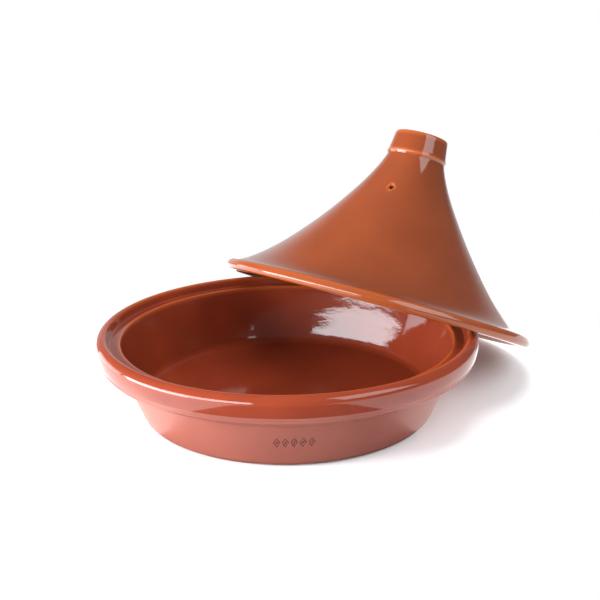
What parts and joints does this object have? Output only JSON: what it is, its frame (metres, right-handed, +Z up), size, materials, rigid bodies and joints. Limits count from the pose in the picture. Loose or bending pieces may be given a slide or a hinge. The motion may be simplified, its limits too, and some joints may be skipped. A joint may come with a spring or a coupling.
{
  "type": "tagine pot",
  "caption": "Earthenware cooking tagine: a shallow round dish with a stepped rim, and a tall flared conical lid with a collar knob and a steam vent, leaning on the dish.",
  "frame": {"origin": "centre of the dish's flat foot, on the table", "axes": "+Z is up, along the dish's own axis; +X is the way the lid leans, level, from the dish's axis towards the place where the lid's edge touches the table; the object is the same on both sides of the XZ plane, apart from the steam vent"},
  "size_m": [0.4141, 0.32, 0.2172],
  "materials": {
    "dish_clay": "red earthenware, clear glossy glaze inside and over the rim, bare satin clay on the outer wall and foot",
    "lid_clay": "red earthenware, clear satin-gloss glaze all over"
  },
  "bodies": {
    "dish": {"dish": "dish_clay"},
    "lid": {"lid": "lid_clay"}
  },
  "joints": [
    {"name": "lid_lift", "type": "slide", "parent": "dish", "child": "lid", "axis": [0, 0, 1], "range_m": [0, 0.3]}
  ]
}
